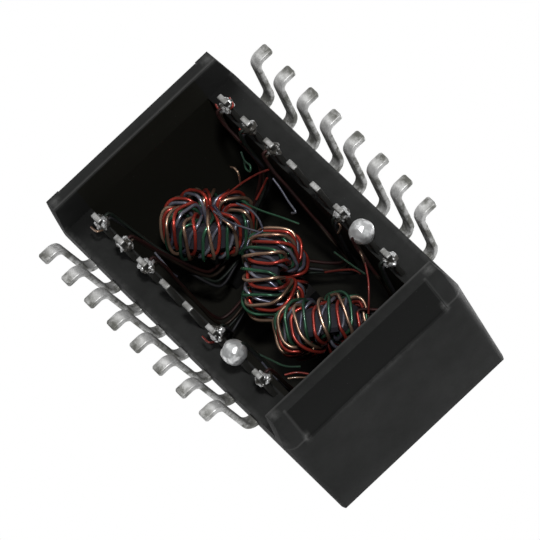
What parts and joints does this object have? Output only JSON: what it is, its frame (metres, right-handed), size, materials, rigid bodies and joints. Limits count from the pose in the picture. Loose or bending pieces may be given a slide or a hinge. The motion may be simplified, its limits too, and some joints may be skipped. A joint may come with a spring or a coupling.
{
  "type": "surface-mount pulse transformer",
  "caption": "Open-bottomed moulded transformer module with two rows of gull-wing leads and wound toroids soldered to inner posts.",
  "frame": {"origin": "centre of the foot pattern, on the board plane that the feet stand on", "axes": "+X along the rows of leads, +Y towards the row of leads 1 to 8, +Z away from the board"},
  "size_m": [0.0128, 0.0096, 0.0061],
  "materials": {
    "case_plastic": "black glass-filled moulding, fine matt skin",
    "tinned_lead": "matt tin plate over copper alloy strip",
    "ferrite": "dark grey ferrite, tumbled edges",
    "enamel_red": "red enamelled copper wire",
    "enamel_copper": "natural enamelled copper wire",
    "enamel_green": "green enamelled copper wire",
    "enamel_blue": "blue-grey enamelled copper wire",
    "solder": "bright solder",
    "silicone": "dark silicone adhesive"
  },
  "bodies": {
    "root": {"case": "case_plastic", "lead_1": "tinned_lead", "lead_2": "tinned_lead", "lead_3": "tinned_lead", "lead_4": "tinned_lead", "lead_5": "tinned_lead", "lead_6": "tinned_lead", "lead_7": "tinned_lead", "lead_8": "tinned_lead", "lead_9": "tinned_lead", "lead_10": "tinned_lead", "lead_11": "tinned_lead", "lead_12": "tinned_lead", "lead_13": "tinned_lead", "lead_14": "tinned_lead", "lead_15": "tinned_lead", "lead_16": "tinned_lead", "core_1": "ferrite", "core_2": "ferrite", "core_3": "ferrite", "wire_red_1": "enamel_red", "wire_copper_1": "enamel_copper", "wire_green_1": "enamel_green", "wire_blue_1": "enamel_blue", "wire_red_2": "enamel_red", "wire_copper_2": "enamel_copper", "wire_green_2": "enamel_green", "wire_blue_2": "enamel_blue", "wire_red_3": "enamel_red", "wire_copper_3": "enamel_copper", "wire_green_3": "enamel_green", "wire_blue_3": "enamel_blue", "solder_2": "solder", "solder_1": "solder", "solder_16": "solder", "solder_15": "solder", "solder_3": "solder", "solder_6": "solder", "solder_14": "solder", "solder_11": "solder", "solder_10": "solder", "solder_9": "solder", "solder_8": "solder", "solder_7": "solder", "adhesive_1": "silicone", "adhesive_2": "silicone", "adhesive_3": "silicone"}
  },
  "joints": []
}
